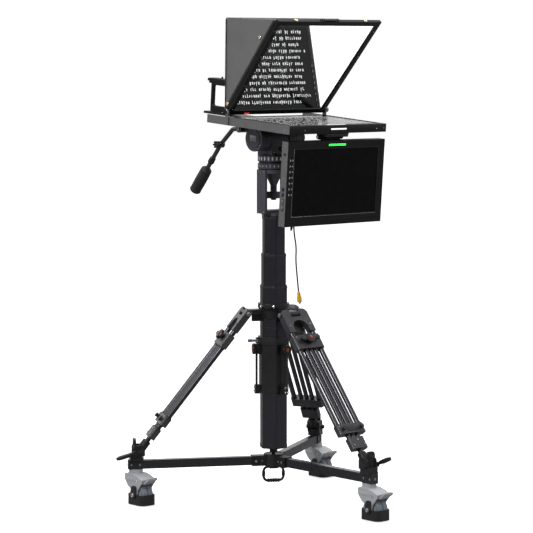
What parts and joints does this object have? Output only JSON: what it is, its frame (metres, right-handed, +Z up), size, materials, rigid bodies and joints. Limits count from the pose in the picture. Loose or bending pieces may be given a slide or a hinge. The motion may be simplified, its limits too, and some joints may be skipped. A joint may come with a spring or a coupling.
{
  "type": "teleprompter",
  "caption": "Rolling stage teleprompter: a reader's glass and hood over a flat prompter monitor, a facing monitor below, a fluid head, a telescopic column and a tripod on a wheeled dolly.",
  "frame": {"origin": "on the floor, under the axis of the column", "axes": "+Z up the column; -Y towards the person reading, whom the front monitor faces; +X to the right seen from there"},
  "size_m": [0.9654, 0.9209, 1.6676],
  "materials": {
    "column_black": "satin anodised",
    "cast_black": "satin",
    "arm_charcoal": "satin powder coat",
    "leg_grey": "black anodised",
    "casting_grey": "satin",
    "caster_grey": "satin",
    "tread_grey": "matt",
    "guard_black": "matt",
    "plastic_black": "matt",
    "steel": "brushed",
    "head_grey": "satin",
    "bar_black": "gloss",
    "grip_rubber": "ribbed matt",
    "tray_grey": "satin",
    "case_black": "satin",
    "screen_black": "gloss",
    "glass": "part-silvered",
    "hood_fabric": "coated cloth",
    "cord_black": "satin",
    "plug_yellow": "satin",
    "brass": "machined",
    "bush_plastic": "matt"
  },
  "bodies": {
    "dolly": {"dolly_hub": "cast_black", "dolly_arms": "arm_charcoal", "foot_cradles": "cast_black", "caster_stems": "steel"},
    "carry_handle": {"carry_handle": "plastic_black"},
    "pedestal": {"column_outer": "column_black", "base_plug": "bush_plastic", "lower_bush": "bush_plastic", "tripod_collar": "cast_black", "guide_sleeve": "cast_black", "sleeve_fittings": "cast_black"},
    "clamp_lever": {"clamp_lever": "steel"},
    "mid_stage": {"mid_tube": "column_black", "upper_bush": "bush_plastic"},
    "top_stage": {"top_tube": "column_black", "riser_frame": "head_grey", "half_ball": "head_grey"},
    "tie_down": {"tie_down_handle": "plastic_black"},
    "pan_body": {"pan_base": "head_grey"},
    "tilt_body": {"tilt_housing": "head_grey", "base_plate": "cast_black", "tray": "tray_grey", "monitor_case": "case_black", "monitor_screen": "screen_black", "camera_riser": "case_black", "talent_bracket": "case_black"},
    "drag_knob": {"drag_knob": "plastic_black"},
    "pan_bar": {"pan_bar": "bar_black", "pan_bar_grip": "grip_rubber"},
    "camera_plate": {"camera_plate": "case_black"},
    "glass_unit": {"glass_frame": "case_black", "beamsplitter": "glass", "hood": "hood_fabric"},
    "talent_monitor": {"talent_case": "case_black", "talent_screen": "screen_black", "cable": "cord_black", "plug": "plug_yellow"},
    "talent_keys": {"talent_keys": "plastic_black"},
    "leg_left": {"leg_upper_left": "leg_grey", "leg_lower_left": "leg_grey"},
    "cradle_lever_left": {"cradle_lever_left": "plastic_black"},
    "caster_left": {"caster_fork_left": "caster_grey", "cable_guard_left": "guard_black"},
    "wheel_left": {"caster_wheel_left": "tread_grey"},
    "brake_left": {"brake_pedal_left": "caster_grey"},
    "leg_front": {"leg_upper_front": "leg_grey", "leg_lower_front": "leg_grey"},
    "cradle_lever_front": {"cradle_lever_front": "plastic_black"},
    "caster_front": {"caster_fork_front": "caster_grey", "cable_guard_front": "guard_black"},
    "wheel_front": {"caster_wheel_front": "tread_grey"},
    "brake_front": {"brake_pedal_front": "caster_grey"},
    "leg_rear": {"leg_upper_rear": "leg_grey", "leg_lower_rear": "leg_grey"},
    "cradle_lever_rear": {"cradle_lever_rear": "plastic_black"},
    "caster_rear": {"caster_fork_rear": "caster_grey", "cable_guard_rear": "guard_black"},
    "wheel_rear": {"caster_wheel_rear": "tread_grey"},
    "brake_rear": {"brake_pedal_rear": "caster_grey"}
  },
  "joints": [
    {"name": "handle_swing", "type": "hinge", "parent": "dolly", "child": "carry_handle", "pos_m": [0, 0, 0.1125], "axis": [0.866, -0.5, 0], "range_deg": [-60, 60]},
    {"name": "pedestal_lift", "type": "slide", "parent": "dolly", "child": "pedestal", "axis": [0, 0, 1], "range_m": [0, 0.25]},
    {"name": "leg_left_fold", "type": "hinge", "parent": "pedestal", "child": "leg_left", "pos_m": [-0.0866, 0.05, 0.655], "axis": [-0.5, -0.866, 0], "range_deg": [0, 28.7]},
    {"name": "cradle_lever_left_turn", "type": "hinge", "parent": "dolly", "child": "cradle_lever_left", "pos_m": [-0.42262, 0.244, 0.181], "axis": [-0.5, -0.866, 0], "range_deg": [-60, 14]},
    {"name": "caster_left_swivel", "type": "hinge", "parent": "dolly", "child": "caster_left", "pos_m": [-0.41916, 0.242, 0.1], "axis": [0, 0, 1], "continuous": true},
    {"name": "wheel_left_roll", "type": "hinge", "parent": "caster_left", "child": "wheel_left", "pos_m": [-0.41916, 0.212, 0.0375], "axis": [1, 0, 0], "continuous": true},
    {"name": "brake_left_press", "type": "hinge", "parent": "caster_left", "child": "brake_left", "pos_m": [-0.41916, 0.198, 0.086], "axis": [1, 0, 0], "range_deg": [0, 7]},
    {"name": "leg_front_fold", "type": "hinge", "parent": "pedestal", "child": "leg_front", "pos_m": [0, -0.1, 0.655], "axis": [1, 0, 0], "range_deg": [0, 28.7]},
    {"name": "cradle_lever_front_turn", "type": "hinge", "parent": "dolly", "child": "cradle_lever_front", "pos_m": [0, -0.488, 0.181], "axis": [1, 0, 0], "range_deg": [-30, 40]},
    {"name": "caster_front_swivel", "type": "hinge", "parent": "dolly", "child": "caster_front", "pos_m": [0, -0.484, 0.1], "axis": [0, 0, 1], "continuous": true},
    {"name": "wheel_front_roll", "type": "hinge", "parent": "caster_front", "child": "wheel_front", "pos_m": [0, -0.514, 0.0375], "axis": [1, 0, 0], "continuous": true},
    {"name": "brake_front_press", "type": "hinge", "parent": "caster_front", "child": "brake_front", "pos_m": [0, -0.528, 0.086], "axis": [1, 0, 0], "range_deg": [0, 7]},
    {"name": "leg_rear_fold", "type": "hinge", "parent": "pedestal", "child": "leg_rear", "pos_m": [0.0866, 0.05, 0.655], "axis": [-0.5, 0.866, 0], "range_deg": [0, 28.7]},
    {"name": "cradle_lever_rear_turn", "type": "hinge", "parent": "dolly", "child": "cradle_lever_rear", "pos_m": [0.42262, 0.244, 0.181], "axis": [-0.5, 0.866, 0], "range_deg": [-30, 40]},
    {"name": "caster_rear_swivel", "type": "hinge", "parent": "dolly", "child": "caster_rear", "pos_m": [0.41916, 0.242, 0.1], "axis": [0, 0, 1], "continuous": true},
    {"name": "wheel_rear_roll", "type": "hinge", "parent": "caster_rear", "child": "wheel_rear", "pos_m": [0.41916, 0.212, 0.0375], "axis": [1, 0, 0], "continuous": true},
    {"name": "brake_rear_press", "type": "hinge", "parent": "caster_rear", "child": "brake_rear", "pos_m": [0.41916, 0.198, 0.086], "axis": [1, 0, 0], "range_deg": [0, 7]},
    {"name": "latch_swing", "type": "hinge", "parent": "pedestal", "child": "clamp_lever", "pos_m": [-0.05378, 0.02173, 0.558], "axis": [0, 0, 1], "range_deg": [-50, 50]},
    {"name": "mid_extend", "type": "slide", "parent": "pedestal", "child": "mid_stage", "axis": [0, 0, 1], "range_m": [-0.05, 0.25]},
    {"name": "top_extend", "type": "slide", "parent": "mid_stage", "child": "top_stage", "axis": [0, 0, 1], "range_m": [-0.05, 0.3]},
    {"name": "tie_down_turn", "type": "hinge", "parent": "top_stage", "child": "tie_down", "pos_m": [0, 0, 1.06], "axis": [0, 0, 1], "continuous": true},
    {"name": "pan", "type": "hinge", "parent": "top_stage", "child": "pan_body", "pos_m": [0, 0, 1.2], "axis": [0, 0, 1], "continuous": true},
    {"name": "tilt", "type": "hinge", "parent": "pan_body", "child": "tilt_body", "pos_m": [0, 0, 1.257], "axis": [1, 0, 0], "range_deg": [-20, 10]},
    {"name": "drag_turn", "type": "hinge", "parent": "tilt_body", "child": "drag_knob", "pos_m": [0.12, 0, 1.257], "axis": [1, 0, 0], "continuous": true},
    {"name": "pan_bar_angle", "type": "hinge", "parent": "tilt_body", "child": "pan_bar", "pos_m": [-0.097, 0.062, 1.29], "axis": [1, 0, 0], "range_deg": [-25, 20]},
    {"name": "camera_plate_slide", "type": "slide", "parent": "tilt_body", "child": "camera_plate", "axis": [0, 0.9972, 0.075], "range_m": [-0.03, 0.012]},
    {"name": "glass_fold", "type": "hinge", "parent": "tilt_body", "child": "glass_unit", "pos_m": [0, -0.01659, 1.35222], "axis": [1, 0, 0], "range_deg": [0, 50]},
    {"name": "talent_tilt", "type": "hinge", "parent": "tilt_body", "child": "talent_monitor", "pos_m": [0, -0.28582, 1.27061], "axis": [1, 0, 0], "range_deg": [-15, 15]},
    {"name": "keys_press", "type": "slide", "parent": "talent_monitor", "child": "talent_keys", "axis": [0, 0.9972, 0.075], "range_m": [0, 0.001], "stiffness_N_per_m": 400}
  ],
  "couplings": [
    {"joint": "leg_left_fold", "follows": "pedestal_lift", "rad_per_m": 2},
    {"joint": "leg_front_fold", "follows": "pedestal_lift", "rad_per_m": 2},
    {"joint": "leg_rear_fold", "follows": "pedestal_lift", "rad_per_m": 2}
  ]
}
